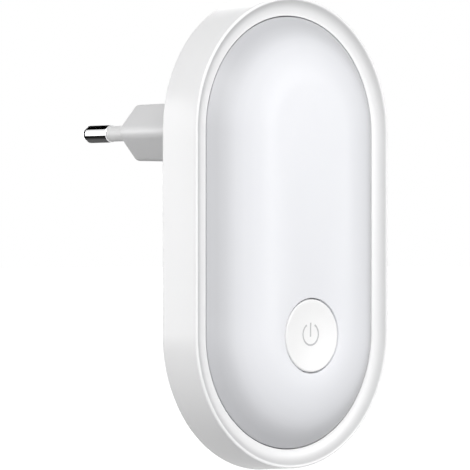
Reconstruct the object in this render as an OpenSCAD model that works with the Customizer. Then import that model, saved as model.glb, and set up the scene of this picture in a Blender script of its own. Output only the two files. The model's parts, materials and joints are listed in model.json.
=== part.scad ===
// Plug-in night light with a domed racetrack diffuser, a round push button
// low on the front and a two-pin mains plug high on the back.
// Origin: middle of the plug's face, between the pins. +Y goes into the wall
// socket, +Z is up, so the lamp's front looks along -Y.

/* [Housing] */
// Width of the housing at its front lip
body_w = 60; // [57:0.5:66]
// Distance between the centres of the round ends
arc_gap = 44.7; // [43.5:0.1:58]
// Distance of the upper round end's centre below the plug's axis
arc_drop = 0.4; // [0:0.1:1]
// Depth of the side, from the front lip to the back edge
side_depth = 10.1; // [9.9:0.1:13]
// How much further out the side stands at its back edge
side_flare = 0.7; // [0:0.1:0.9]
// Thickness of the side wall
wall_t = 2; // [1.6:0.1:2.2]
// Rounding of the side's back edge
back_round = 0.5; // [0.2:0.1:0.8]
// Width of the raised lip round the front
lip_w = 0.9; // [0.8:0.1:1.2]
// Width of the hollowed band between lip and diffuser
cove_w = 3.3; // [2.8:0.1:3.6]
// Depth of the hollowed band below the lip
cove_d = 1.3; // [1:0.1:1.5]
// Thickness of the web under the hollowed band
web_t = 1.6; // [1.2:0.1:2]
// Thickness of the collar round the diffuser
collar_t = 1.4; // [1:0.1:1.8]
// Thickness of the ledge that carries the diffuser
ledge_t = 1.6; // [1.4:0.1:2]
// Width of the ledge, inwards from the collar
ledge_w = 2.5; // [2:0.1:3]

/* [Diffuser] */
// Gap between the diffuser and the hollowed band
lens_gap = 0.2; // [0.1:0.05:0.3]
// Thickness of the diffuser
lens_t = 1.8; // [1.4:0.1:2]
// Height of the dome above the diffuser's edge
dome_rise = 6.75; // [6.5:0.05:8]
// Radius of the dome's shoulder
dome_arc_r = 19; // [17:0.5:20]
// Slope of the dome at its edge, in degrees
dome_slope = 40; // [36:1:42]
// Depth of the diffuser's skirt below its edge
skirt_depth = 2.8; // [2.4:0.1:2.9]

/* [Button] */
// Diameter of the button's face
button_d = 16.1; // [14:0.1:17]
// Distance of the button's centre below the lower round end's centre
button_low = 0.4; // [0:0.1:1]
// Gap round the button
button_gap = 0.3; // [0.3:0.05:0.4]
// Thickness of the button's face
button_t = 1.6; // [1.2:0.1:1.8]
// Rounding of the button's front edge
button_round = 0.3; // [0.2:0.1:0.8]
// Depth of the finger hollow in the button's face
button_dish = 0.5; // [0.2:0.1:0.6]
// Thickness of the button's skirt
button_skirt_t = 1.2; // [1:0.1:1.5]
// How far the button's skirt reaches into its guide
button_grip = 1.8; // [1.4:0.1:2.4]
// Width of the flange that keeps the button in
button_flange_w = 1.5; // [1.2:0.1:1.7]
// Thickness of that flange
button_flange_t = 1.3; // [1:0.1:1.6]
// Travel of the button when pressed
button_travel = 0.6; // [0.3:0.1:0.8]
// Diameter of the button's stem
button_stem_d = 4.4; // [4:0.1:5]
// Wall of the button's guide
guide_t = 1.2; // [1:0.1:1.4]

/* [Power symbol] */
// Outer diameter of the ring
symbol_d = 5.16; // [4:0.02:6]
// Width of the line
symbol_line = 0.4; // [0.3:0.02:0.6]
// Depth of the inlay
symbol_depth = 0.2; // [0.1:0.05:0.3]
// Half of the ring's open angle, in degrees
symbol_open = 29; // [22:1:34]
// Length of the bar
symbol_bar = 3.1; // [2.4:0.1:3.6]
// Distance of the ring's centre above the button's centre
symbol_lift = 0.3; // [0:0.1:0.5]

/* [Light source] */
// Thickness of the light board
led_board_t = 1.2; // [1:0.1:1.6]
// Gap between the ledge and the light board's edge, seen from the front
led_board_edge = 2.7; // [2.4:0.1:3]
// Height of the light board above the back cover
led_board_lift = 1; // [0.8:0.1:1.2]
// Distance of the light packages from the board's edge
led_inset = 7.5; // [7:0.1:8]
// Light packages along each straight side
led_rows = 6; // [5:1:7]
// Width of a light package
led_w = 2.8; // [2.4:0.1:3]
// Length of a light package
led_l = 3.5; // [3:0.1:3.6]
// Height of a light package
led_h = 0.7; // [0.6:0.1:0.9]
// Thickness of the reflector tray
tray_t = 1; // [0.8:0.1:1.2]
// Gap between the tray's rim and the ledge
tray_gap = 0.3; // [0.2:0.05:0.4]
// Distance of the tray's rim below the diffuser's edge
tray_drop = 0.5; // [0.4:0.1:0.8]
// Side of the switch under the button
switch_w = 6.2; // [6:0.1:7]
// Height of the switch's case
switch_h = 3.5; // [3.2:0.1:3.8]
// Diameter of the switch's plunger
plunger_d = 3.5; // [3:0.1:3.8]
// Height of the plunger above the switch's case
plunger_rise = 1.5; // [1.2:0.1:2]

/* [Back cover] */
// Thickness of the back cover
cover_t = 2.4; // [2.2:0.1:2.6]
// Gap between the back cover and the side wall
cover_gap = 0.15; // [0.1:0.05:0.25]
// Width of the raised driver box
box_w = 36.5; // [36:0.1:37]
// Distance between the centres of the box's round ends
box_gap = 30; // [30:0.5:34]
// Height of the box behind the back cover
box_depth = 11.4; // [11:0.1:14]
// Thickness of the box's walls
box_wall = 2; // [1.8:0.1:2.2]
// Rounding of the box's back edge
box_round = 1.6; // [0.8:0.1:1.7]

/* [Driver] */
// Width of the driver board
driver_w = 26; // [25.5:0.1:26.5]
// Length of the driver board
driver_l = 28; // [27.5:0.1:28.5]
// Thickness of the driver board
driver_t = 1.6; // [1.2:0.1:1.8]
// Height of the driver board above the box's floor
driver_lift = 2.5; // [2.3:0.1:2.8]
// Distance of the driver board's upper edge below the plug's axis
driver_drop = 9; // [9:0.1:9.4]
// Length of the film capacitor
film_l = 13; // [12:0.1:13.2]
// Width of the film capacitor
film_w = 5; // [4.5:0.1:5.2]
// Height of the film capacitor
film_h = 8; // [7:0.1:8.4]
// Diameter of the electrolytic capacitor
can_d = 6.3; // [5.5:0.1:6.4]
// Length of the electrolytic capacitor
can_l = 11; // [10:0.1:11.2]
// Diameter of the inductor's flanges
coil_d = 6; // [5.4:0.1:6.2]
// Height of the inductor
coil_h = 6.5; // [5.5:0.1:7.5]
// Diameter of the fusible resistor
fuse_d = 3.2; // [2.8:0.1:3.4]
// Length of the fusible resistor
fuse_l = 9; // [8:0.1:9.4]
// Length of the bridge rectifier
bridge_l = 4.7; // [4.4:0.1:5]
// Width of the bridge rectifier
bridge_w = 4; // [3.6:0.1:4.2]
// Height of the bridge rectifier
bridge_h = 2.6; // [2.3:0.1:3]
// Length of the driver chip
chip_l = 4.9; // [4.6:0.1:5]
// Width of the driver chip
chip_w = 3.9; // [3.6:0.1:4]
// Height of the driver chip
chip_h = 1.6; // [1.4:0.1:1.8]
// Pitch of the header's two pins
header_pitch = 2.54; // [2:0.01:2.54]
// Height of the header's plastic block
header_h = 2.5; // [2:0.1:3]
// Side of a header pin
header_pin = 0.64; // [0.5:0.02:0.64]
// Diameter of the two inner wires, insulation included
wire_d = 1.6; // [1.2:0.1:1.8]

/* [Plug] */
// Width of the plug body, over its tips before they are rounded
plug_w = 33.4; // [32.6:0.1:33.8]
// Height of the plug body
plug_h = 13.2; // [12.6:0.1:13.6]
// Width of the plug body's flat top
plug_flat = 21.3; // [20.6:0.1:22]
// Length of the plug body behind its face
plug_len = 19.4; // [18:0.1:22]
// Rounding of the plug body's corners
plug_round = 2.4; // [1.8:0.1:2.8]
// Clearance round the plug body in the back cover
plug_clear = 0.1; // [0.05:0.05:0.2]
// Thickness of the plug body's inner flange
plug_flange_t = 1.6; // [1.4:0.1:1.8]
// Overlap of that flange above and below the opening
plug_flange_w = 2; // [1.5:0.1:2.2]
// Distance between the pins
pin_spacing = 19; // [18.6:0.1:19.2]
// Diameter of a pin's bare end
pin_d = 4; // [3.9:0.02:4.1]
// Rounding of a pin's tip
pin_round = 1.9; // [1:0.1:1.9]
// Length of a pin outside the plug body
pin_len = 18.5; // [18:0.1:19.5]
// Length of a pin's bare end
pin_bare = 9; // [8.4:0.1:9.6]
// Diameter of a pin inside its sleeve
core_d = 2.7; // [2.5:0.1:2.9]
// Diameter of a pin's insulating sleeve
sleeve_d = 3.6; // [3.4:0.05:3.7]
// Length of sleeve held inside the plug body
sleeve_grip = 1; // [0.8:0.1:2]
// Clearance between pin, sleeve and plug body
pin_fit = 0.02; // [0.01:0.01:0.05]
// Length of a pin's tail inside the box
tail_len = 1.4; // [1.2:0.1:1.8]

/* [Screws] */
// Diameter of a screw's shank
screw_d = 2.2; // [2:0.1:2.4]
// Length of a screw's shank
screw_l = 3.8; // [3.6:0.1:3.9]
// Diameter of a screw's head
head_d = 4; // [3.6:0.1:4.2]
// Height of a screw's head
head_h = 1.3; // [1.1:0.1:1.3]
// Clearance round a screw's shank
screw_clear = 0.05; // [0.03:0.01:0.1]
// Clearance round a screw's head
head_clear = 0.3; // [0.2:0.05:0.4]
// Width of the cross in a screw's head
cross_w = 0.6; // [0.5:0.05:0.7]
// Wall of a screw boss
boss_t = 1.3; // [1.1:0.1:1.4]

/* [Hidden] */
$fn = 96;

// Cutters reach this far past a face, and joined solids this far into each other
over = 1;
sink = 0.5;
// Steps along a curved stretch of an outline
steps = 12;

// Heights are counted from the plug's face towards the room
floor_z = plug_len + box_wall;
back_z = plug_len + box_depth;
cover_z = back_z + cover_t;
lip_z = back_z + side_depth;
edge_z = lip_z - cove_d;
ledge_z = edge_z - skirt_depth;
dome_z = edge_z + dome_rise;

// Radii are counted from the line between the two arc centres
body_r = body_w / 2;
back_r = body_r + side_flare;
side_slope = atan(side_flare / side_depth);
wall_r = body_r - wall_t;
cover_r = wall_r - cover_gap;
lip_r = lip_w / 2;
collar_r = body_r - lip_w - cove_w;
ledge_r = collar_r - ledge_w;
lens_r = collar_r - lens_gap;
skirt_r = lens_r - lens_t;
box_r = box_w / 2;
box_in_r = box_r - box_wall;

// Centres of the lower round end and of the button
low_y = -arc_drop - arc_gap;
button_y = low_y - button_low;

// The hollowed band: an arc that leaves the collar level and runs tangent into the round lip
cove_x = cove_w + lip_r;
cove_y = cove_d - lip_r;
cove_r = (cove_x * cove_x + cove_y * cove_y - lip_r * lip_r) / (2 * cove_d);
cove_turn = asin(cove_x / (cove_r + lip_r));

// The dome: a flat top, a round shoulder and a straight band down to the edge
band_rise = dome_rise - dome_arc_r * (1 - cos(dome_slope));
band_w = band_rise / tan(dome_slope);
flat_r = lens_r - band_w - dome_arc_r * sin(dome_slope);
dome_in_z = dome_z - lens_t;

// Light board and tray
led_board_r = ledge_r - led_board_edge;
led_board_z = cover_z + led_board_lift;
led_face_z = led_board_z + led_board_t;
led_ring_r = led_board_r - led_inset;
led_clear = 0.4;
tray_z = led_face_z + tray_t;
tray_rim_z = edge_z - tray_drop;
tray_rim_r = ledge_r - tray_gap;
tray_foot_r = led_board_r - sink;
tray_cut = tray_t + 2 * over;

// Button, from its face down to the switch
button_r = button_d / 2;
guide_r = button_r + button_gap;
guide_out_r = guide_r + guide_t;
button_seat = 0.3;
flange_r = button_r + button_flange_w;
flange_z = dome_in_z - button_seat;
flange_low_z = flange_z - button_flange_t;
guide_top_z = flange_low_z - button_travel - button_seat;
button_low_z = guide_top_z - button_grip;
switch_z = led_face_z + switch_h;
plunger_z = switch_z + plunger_rise;
plunger_play = 0.1;
plunger_fit = 0.08;
plunger_depth = 2;
switch_window_r = switch_w / 2 + 2;

// The button's face is hollowed as part of a large sphere
dish_w = button_r - button_round;
dish_r = (dish_w * dish_w + button_dish * button_dish) / (2 * button_dish);
dish_angle = asin(dish_w / dish_r);
dish_z = dome_z - button_dish;

// Power symbol
symbol_r = symbol_d / 2;
symbol_z = dish_z - symbol_depth;

// Screws and their bosses
screw_r = screw_d / 2;
hole_r = screw_r + screw_clear;
boss_r = hole_r + boss_t;
head_r = head_d / 2;
head_hole_r = head_r + head_clear;
cover_seat_z = back_z + head_h + 0.1;
screw_end_z = cover_seat_z + screw_l + 0.2;
screw_ring_r = wall_r - boss_r - 0.9;
screw_side = screw_ring_r * cos(45);
cover_spots = [
    for (x = [-screw_side, screw_side]) [x, screw_side - arc_drop],
    for (x = [-screw_side, screw_side]) [x, low_y - screw_side]
];
led_spot_x = led_board_r - head_hole_r - sink;
led_pitch = arc_gap / (led_rows - 1);
led_spots = [
    for (x = [-led_spot_x, led_spot_x]) for (row = [0.5, led_rows - 1.5]) [x, -arc_drop - row * led_pitch]
];

// Driver board and what stands on it
driver_z = floor_z + driver_lift;
driver_face_z = driver_z + driver_t;
driver_top = -driver_drop;
driver_low = driver_top - driver_l;
part_gap = 1;
fuse_y = driver_top - part_gap - fuse_d / 2 - 1;
film_y = fuse_y - fuse_d / 2 - part_gap - film_w / 2 - 1;
film_x = -driver_w / 2 + part_gap + film_l / 2;
bridge_x = film_x + film_l / 2 + 3 * part_gap + bridge_l / 2;
can_x = -driver_w / 2 + 2 * part_gap + can_d / 2;
can_y = film_y - film_w / 2 - 2 * part_gap - can_l / 2;
screw_x = can_x + can_d / 2 + part_gap + head_r;
coil_x = screw_x + head_r + part_gap + coil_d / 2;
coil_y = film_y - film_w / 2 - part_gap - coil_d / 2;
chip_y = coil_y - coil_d / 2 - part_gap - chip_w / 2;
header_x = driver_w / 2 - part_gap - header_pitch / 2;
header_y = driver_low + 2 * part_gap + header_pitch;
driver_spots = [[header_x - 0.3, header_y + header_pitch + part_gap + head_r + 1], [screw_x, can_y]];
header_hole = header_pin + 0.4;

// Plug body and pins
plug_tip = plug_w / 2;
plug_end_z = floor_z + plug_flange_t;
core_r = core_d / 2;
pin_r = pin_d / 2;
sleeve_r = sleeve_d / 2;
tail_z = plug_end_z + tail_len;
pin_x = pin_spacing / 2;

// Wires arch from the pins' tails to the driver board
wire_r = wire_d / 2;
wire_bend = (driver_drop + part_gap + 2) / 2;
wire_rise = 2;

// Local x is right, local y is up and local z points into the room
module place() {
    rotate([90, 0, 0]) children();
}

// Outline with two round ends, hanging down from the upper arc centre
module racetrack(r, gap) {
    translate([0, -arc_drop]) circle(r);
    translate([0, -arc_drop - gap]) circle(r);
    translate([-r, -arc_drop - gap]) square([2 * r, gap]);
}

module slab(r, gap, z, h) {
    translate([0, 0, z]) linear_extrude(h) racetrack(r, gap);
}

// Carries a profile round a racetrack: x is the radius and y the height
module sweep(gap) {
    translate([0, -arc_drop, 0]) {
        rotate_extrude(angle = 180) children();
        translate([0, -gap, 0]) rotate([0, 0, 180]) rotate_extrude(angle = 180) children();
        for (side = [0, 1]) mirror([side, 0, 0]) rotate([90, 0, 0]) linear_extrude(gap) children();
    }
}

module rod(x, y, z, r, h) {
    translate([x, y, z]) cylinder(r = r, h = h);
}

module block(x, y, z, size) {
    translate([x - size.x / 2, y - size.y / 2, z]) cube(size);
}

module screw(x, y, z) {
    rod(x, y, z - screw_l, screw_r, screw_l + sink);
    difference() {
        rod(x, y, z, head_r, head_h);
        block(x, y, z + head_h / 2, [head_r, cross_w, head_h]);
        block(x, y, z + head_h / 2, [cross_w, head_r, head_h]);
    }
}

function arc(cx, cy, rx, ry, from, to) =
    [for (i = [0 : steps]) let (a = from + (to - from) * i / steps) [cx + rx * cos(a), cy + ry * sin(a)]];

// Housing: side wall, round lip, hollowed band, collar and ledge in one outline
frame_profile = concat(
    arc(back_r - back_round, back_z + back_round, back_round, back_round, -90, side_slope),
    arc(body_r - lip_r, lip_z - lip_r, lip_r, lip_r, side_slope, 90 + cove_turn),
    arc(collar_r, edge_z + cove_r, cove_r, cove_r, cove_turn - 90, -90),
    [
        [collar_r, ledge_z],
        [ledge_r, ledge_z],
        [ledge_r, ledge_z - ledge_t],
        [collar_r + collar_t, ledge_z - ledge_t],
        [collar_r + collar_t, edge_z - web_t],
        [wall_r, edge_z - web_t],
        [wall_r, back_z]
    ]
);

module front_frame() {
    color("white") place() difference() {
        union() {
            sweep(arc_gap) polygon(frame_profile);
            for (p = cover_spots) rod(p.x, p.y, cover_z, boss_r, ledge_z - ledge_t - cover_z + sink);
        }
        for (p = cover_spots) rod(p.x, p.y, cover_z - over, hole_r, screw_end_z - cover_z + over);
    }
}

// Diffuser: the dome's shell and the skirt that stands on the ledge
function dome(inset) =
    arc(flat_r, dome_z - dome_arc_r, dome_arc_r - inset, dome_arc_r - inset, 90, 90 - dome_slope);

skirt_in_z = edge_z + lens_t * tan(dome_slope) - lens_t / cos(dome_slope);
lens_profile = concat(
    [[0, dome_z]],
    dome(0),
    [[lens_r, edge_z], [lens_r, ledge_z], [skirt_r, ledge_z], [skirt_r, skirt_in_z]],
    [for (i = [steps : -1 : 0]) dome(lens_t)[i]],
    [[0, dome_in_z]]
);

module diffuser() {
    color("#f2f3f7") place() difference() {
        sweep(arc_gap) polygon(lens_profile);
        rod(0, button_y, dome_in_z - over, guide_r, lens_t + 2 * over);
    }
}

// Button: face, skirt, keeping flange and stem turned as one outline
button_profile = concat(
    arc(0, dish_z + dish_r, dish_r, dish_r, -90, dish_angle - 90),
    arc(button_r - button_round, dome_z - button_round, button_round, button_round, 90, 0),
    [
        [button_r, flange_z],
        [flange_r, flange_z],
        [flange_r, flange_low_z],
        [button_r, flange_low_z],
        [button_r, button_low_z],
        [button_r - button_skirt_t, button_low_z],
        [button_r - button_skirt_t, dome_z - button_t],
        [button_stem_d / 2, dome_z - button_t],
        [button_stem_d / 2, plunger_z + plunger_play],
        [0, plunger_z + plunger_play]
    ]
);

module symbol_shape() {
    open_w = symbol_d * tan(symbol_open);
    difference() {
        circle(symbol_r);
        circle(symbol_r - symbol_line);
        polygon([[0, 0], [open_w, symbol_d], [-open_w, symbol_d]]);
    }
    translate([-symbol_line / 2, symbol_r - symbol_bar]) square([symbol_line, symbol_bar]);
}

module button_cap() {
    color("white") place() translate([0, button_y, 0]) difference() {
        rotate_extrude() polygon(button_profile);
        translate([0, symbol_lift, symbol_z]) linear_extrude(button_dish + over) symbol_shape();
    }
}

module button_symbol() {
    color("silver") place() translate([0, button_y + symbol_lift, symbol_z])
        linear_extrude(symbol_depth) symbol_shape();
}

module button_guide() {
    color("white") place() difference() {
        rod(0, button_y, tray_z, guide_out_r, guide_top_z - tray_z);
        rod(0, button_y, tray_z - over, guide_r, guide_top_z - tray_z + 2 * over);
    }
}

// Calls its children at each light package, turned to follow the board's edge
module at_leds() {
    for (side = [-1, 1]) for (row = [0 : led_rows - 1])
        translate([side * led_ring_r, -arc_drop - row * led_pitch, 0]) children();
    for (end = [0, 1]) for (turn = [45, 90, 135])
        translate([0, -arc_drop - end * arc_gap, 0]) rotate([0, 0, turn + 180 * end])
            translate([led_ring_r, 0, 0]) children();
}

tray_profile = [
    [0, led_face_z],
    [tray_foot_r, led_face_z],
    [tray_rim_r, tray_rim_z],
    [tray_rim_r - tray_t, tray_rim_z],
    [tray_foot_r - tray_t, tray_z],
    [0, tray_z]
];

module reflector_tray() {
    color("white") place() difference() {
        sweep(arc_gap) polygon(tray_profile);
        at_leds() block(0, 0, led_face_z - over, [led_w + 2 * led_clear, led_l + 2 * led_clear, tray_cut]);
        for (p = led_spots) rod(p.x, p.y, led_face_z - over, head_hole_r, tray_cut);
        rod(0, button_y, led_face_z - over, switch_window_r, tray_cut);
        block(header_x, header_y, led_face_z - over, [header_pitch + 1, 2 * header_pitch + 1, tray_cut]);
    }
}

module led_board() {
    color("#e9efe9") place() difference() {
        slab(led_board_r, arc_gap, led_board_z, led_board_t);
        for (p = led_spots) rod(p.x, p.y, led_board_z - over, hole_r, led_board_t + 2 * over);
        at_header() cube([header_hole, header_hole, 4 * cover_z], center = true);
    }
}

module led_packages() {
    color("#f3e27a") place() at_leds() block(0, 0, led_face_z, [led_w, led_l, led_h]);
}

module switch_case() {
    color("#303236") place() difference() {
        block(0, button_y, led_face_z, [switch_w, switch_w, switch_h]);
        rod(0, button_y, switch_z - plunger_depth - button_travel - plunger_play,
            plunger_d / 2 + plunger_fit, switch_h);
    }
}

module switch_plunger() {
    color("#1c1d20") place()
        rod(0, button_y, switch_z - plunger_depth, plunger_d / 2, plunger_depth + plunger_rise);
}

// Back cover: a plate inside the side wall and a round-ended box behind it
box_profile = concat(
    [[0, plug_len]],
    arc(box_r - box_round, plug_len + box_round, box_round, box_round, -90, 0),
    [[box_r, cover_z], [box_in_r, cover_z], [box_in_r, floor_z], [0, floor_z]]
);

module back_cover() {
    color("white") place() difference() {
        union() {
            difference() {
                slab(cover_r, arc_gap, back_z, cover_t);
                slab(box_in_r, box_gap, back_z - over, cover_t + 2 * over);
            }
            sweep(box_gap) polygon(box_profile);
            for (p = led_spots) rod(p.x, p.y, cover_z - sink, boss_r, led_board_lift + sink);
            for (p = driver_spots) rod(p.x, p.y, floor_z - sink, boss_r, driver_lift + sink);
        }
        translate([0, 0, plug_len - over]) linear_extrude(box_wall + 2 * over) plug_outline(plug_clear);
        for (p = led_spots) rod(p.x, p.y, led_face_z - screw_l - 0.1, hole_r, screw_l);
        for (p = driver_spots) rod(p.x, p.y, driver_face_z - screw_l - 0.1, hole_r, screw_l);
        for (p = cover_spots) {
            rod(p.x, p.y, back_z - over, head_hole_r, cover_seat_z - back_z + over);
            rod(p.x, p.y, back_z, hole_r, cover_t + over);
        }
    }
}

module plug_outline(grow) {
    offset(r = plug_round + grow) offset(delta = -plug_round)
        polygon([
            [-plug_tip, 0], [-plug_flat / 2, plug_h / 2], [plug_flat / 2, plug_h / 2],
            [plug_tip, 0], [plug_flat / 2, -plug_h / 2], [-plug_flat / 2, -plug_h / 2]
        ]);
}

module plug_body() {
    color("#f4f4f4") place() difference() {
        union() {
            linear_extrude(floor_z + sink) plug_outline(0);
            block(0, 0, floor_z, [plug_flat + 2 * plug_flange_w, plug_h + 2 * plug_flange_w, plug_flange_t]);
        }
        for (x = [-pin_x, pin_x]) {
            rod(x, 0, -over, core_r + pin_fit, plug_end_z + 2 * over);
            rod(x, 0, -over, sleeve_r + pin_fit, sleeve_grip + over);
        }
    }
}

// A pin: bare end with a rounded tip, thinner core and a tail in the box
pin_profile = concat(
    [[0, -pin_len]],
    arc(pin_r - pin_round, pin_round - pin_len, pin_round, pin_round, -90, 0),
    [[pin_r, pin_bare - pin_len], [core_r, pin_bare - pin_len], [core_r, tail_z], [0, tail_z]]
);

module pin(side) {
    color("#c9cbcf") place() translate([side * pin_x, 0, 0]) rotate_extrude() polygon(pin_profile);
}

module sleeve(side) {
    low_z = pin_bare - pin_len;
    color("#ececec") place() difference() {
        rod(side * pin_x, 0, low_z, sleeve_r, sleeve_grip - low_z);
        rod(side * pin_x, 0, low_z - over, core_r + pin_fit, sleeve_grip - low_z + 2 * over);
    }
}

module pin_left() {
    pin(-1);
}

module pin_right() {
    pin(1);
}

module sleeve_left() {
    sleeve(-1);
}

module sleeve_right() {
    sleeve(1);
}

// A wire leaves its pin's tail, arches down and ends on the driver board
module wire(side) {
    top_z = tail_z + wire_rise;
    far_y = -2 * wire_bend;
    place() translate([side * pin_x, 0, 0]) {
        rod(0, 0, tail_z, wire_r, wire_rise);
        rod(0, far_y, driver_face_z, wire_r, top_z - driver_face_z);
        translate([0, -wire_bend, top_z]) rotate([0, 90, 0]) rotate([0, 0, 90])
            rotate_extrude(angle = 180) translate([wire_bend, 0]) circle(wire_r);
    }
}

module live_wire() {
    color("#7a4a2c") wire(-1);
}

module neutral_wire() {
    color("#3a5fa8") wire(1);
}

module at_header() {
    for (y = [-header_pitch / 2, header_pitch / 2]) translate([header_x, header_y + y, 0]) children();
}

module driver_board() {
    color("#2f6b45") place() difference() {
        block(0, driver_top - driver_l / 2, driver_z, [driver_w, driver_l, driver_t]);
        for (p = driver_spots) rod(p.x, p.y, driver_z - over, hole_r, driver_t + 2 * over);
    }
}

module film_capacitor() {
    color("#d8b23c") place() block(film_x, film_y, driver_face_z, [film_l, film_w, film_h]);
}

module electrolytic_capacitor() {
    color("#23262c") place() translate([can_x, can_y + can_l / 2, driver_face_z + can_d / 2])
        rotate([90, 0, 0]) cylinder(d = can_d, h = can_l);
}

// A bobbin: two flanges and the winding between them
module power_inductor() {
    rim_h = 1;
    color("#4a4038") place() {
        rod(coil_x, coil_y, driver_face_z, coil_d / 2, rim_h);
        rod(coil_x, coil_y, driver_face_z, coil_d / 2 - 0.6, coil_h);
        rod(coil_x, coil_y, driver_face_z + coil_h - rim_h, coil_d / 2, rim_h);
    }
}

// Resistor body between two bent leads, with the body just clear of the board
module fusible_resistor() {
    lead = 0.6;
    lead_x = fuse_l / 2 + part_gap;
    axis_z = driver_face_z + fuse_d / 2 + 0.3;
    color("#6f8f74") place() translate([0, fuse_y, 0]) {
        translate([-fuse_l / 2, 0, axis_z]) rotate([0, 90, 0]) cylinder(d = fuse_d, h = fuse_l);
        translate([-lead_x, 0, axis_z]) rotate([0, 90, 0]) cylinder(d = lead, h = 2 * lead_x);
        for (x = [-lead_x, lead_x]) rod(x, 0, driver_face_z, lead / 2, axis_z - driver_face_z + lead / 2);
    }
}

module bridge_rectifier() {
    color("#26282c") place() block(bridge_x, film_y, driver_face_z, [bridge_l, bridge_w, bridge_h]);
}

module driver_chip() {
    color("#1d1f22") place() block(coil_x, chip_y, driver_face_z, [chip_l, chip_w, chip_h]);
}

module header_block() {
    color("#1f2023") place() difference() {
        block(header_x, header_y, driver_face_z, [header_pitch, 2 * header_pitch, header_h]);
        at_header() cube([header_pin, header_pin, 4 * cover_z], center = true);
    }
}

module header_pins() {
    color("#d9c27a") place() at_header()
        block(0, 0, driver_face_z, [header_pin, header_pin, tray_z - driver_face_z]);
}

module cover_screws() {
    color("#9a9da2") place() for (p = cover_spots)
        translate([p.x, p.y, cover_seat_z]) rotate([180, 0, 0]) screw(0, 0, 0);
}

module board_screws() {
    color("#9a9da2") place() {
        for (p = led_spots) screw(p.x, p.y, led_face_z);
        for (p = driver_spots) screw(p.x, p.y, driver_face_z);
    }
}

front_frame();
diffuser();
button_cap();
button_symbol();
button_guide();
reflector_tray();
led_board();
led_packages();
switch_case();
switch_plunger();
back_cover();
plug_body();
pin_left();
pin_right();
sleeve_left();
sleeve_right();
live_wire();
neutral_wire();
driver_board();
film_capacitor();
electrolytic_capacitor();
power_inductor();
fusible_resistor();
bridge_rectifier();
driver_chip();
header_block();
header_pins();
cover_screws();
board_screws();
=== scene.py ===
import json
import math
import bmesh
import bpy
import numpy as np
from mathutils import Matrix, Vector


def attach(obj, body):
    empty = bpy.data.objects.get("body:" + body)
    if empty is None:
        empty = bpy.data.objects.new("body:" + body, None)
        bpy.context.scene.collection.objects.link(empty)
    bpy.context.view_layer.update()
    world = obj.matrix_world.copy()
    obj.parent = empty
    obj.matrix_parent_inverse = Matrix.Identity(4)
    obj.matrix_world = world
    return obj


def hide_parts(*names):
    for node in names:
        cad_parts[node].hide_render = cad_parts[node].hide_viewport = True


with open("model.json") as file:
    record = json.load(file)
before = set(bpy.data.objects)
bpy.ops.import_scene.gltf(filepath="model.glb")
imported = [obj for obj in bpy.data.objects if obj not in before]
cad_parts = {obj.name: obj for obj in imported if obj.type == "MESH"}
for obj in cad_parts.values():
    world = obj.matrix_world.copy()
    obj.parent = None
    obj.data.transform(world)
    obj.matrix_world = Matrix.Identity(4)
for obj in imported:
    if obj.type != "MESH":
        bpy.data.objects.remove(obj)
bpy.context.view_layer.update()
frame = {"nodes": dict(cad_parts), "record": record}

mm = 0.001

# Heights run from the plug's face towards the room, so a height h lies at y = -h
arcGap = 44.7       # between the centres of the two round ends
arcDrop = 0.4       # of the upper centre below the plug's axis
flatR = 10.64       # of the round ends of the diffuser's flat top
buttonUp = -45.5    # the button's centre
boxBack = 19.4      # back of the driver box
boxFloor = 21.4
driverFace = 25.5   # front of the driver board
driverThick = 1.6
coverBack = 30.8
coverFront = 33.2
boardFace = 35.4    # front of the light board
boardThick = 1.2
ledgeTop = 36.8
domeEdge = 39.6
lipTop = 40.9
domeTop = 46.35
screwHoleR = 1.15


# x to the right, up above the plug's axis, height towards the room, all in mm
def rowPoints(x, up, height):
    x, up, height = np.broadcast_arrays(x, up, height)
    return np.stack([x, -height, up], axis=-1) * mm


# An ellipse's points between two angles in degrees: centre plus radii times cosine and sine
def arcPoints(cx, cy, rx, ry, start, end, steps=8):
    a = np.radians(np.linspace(start, end, steps + 1))
    return np.stack([cx + rx * np.cos(a), cy + ry * np.sin(a)], axis=-1)


# Rounds the corners (x, y, radius) of a closed outline. Each arc's centre lies on the
# corner's bisector at radius / sin(half angle), and the arc turns between its two tangent points.
def softOutline(corners, steps=5):
    c = np.asarray(corners, float)
    p, radius = c[:, :2], c[:, 2:]
    toLast = np.roll(p, 1, axis=0) - p
    toNext = np.roll(p, -1, axis=0) - p
    toLast /= np.linalg.norm(toLast, axis=1, keepdims=True)
    toNext /= np.linalg.norm(toNext, axis=1, keepdims=True)
    half = np.arccos(np.clip((toLast * toNext).sum(1, keepdims=True), -1, 1)) / 2
    bisector = toLast + toNext
    length = np.maximum(np.linalg.norm(bisector, axis=1, keepdims=True), 1e-9)
    reach = radius / np.maximum(np.tan(half), 1e-9)
    centre = p + bisector / length * radius / np.sin(half)
    first, last = p + toLast * reach - centre, p + toNext * reach - centre
    turn = np.maximum(np.pi - 2 * half, 1e-6)
    t = np.linspace(0, 1, steps + 1)[None, :]
    a, b = np.sin((1 - t) * turn) / np.sin(turn), np.sin(t * turn) / np.sin(turn)
    points = centre[:, None] + a[..., None] * first[:, None] + b[..., None] * last[:, None]
    return points.reshape(-1, 2)


# The loop of a racetrack: how far down its straight side each point's centre lies (0 to 1),
# and its outward direction. The sides are divided evenly in the angle seen from the lower centre.
def racetrackLoop(arcSteps=72, sideSteps=36):
    arc = np.linspace(0, np.pi, arcSteps, endpoint=False)
    seen = np.linspace(0, math.atan(arcGap / flatR), sideSteps + 1)
    side = 1 - np.tan(seen) * flatR / arcGap
    share = np.concatenate([np.zeros(arcSteps), side[:0:-1], np.ones(arcSteps), side[:-1]])
    angle = np.concatenate([arc, np.full(sideSteps, np.pi), arc + np.pi, np.full(sideSteps, 2 * np.pi)])
    return share, np.cos(angle), np.sin(angle)


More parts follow.
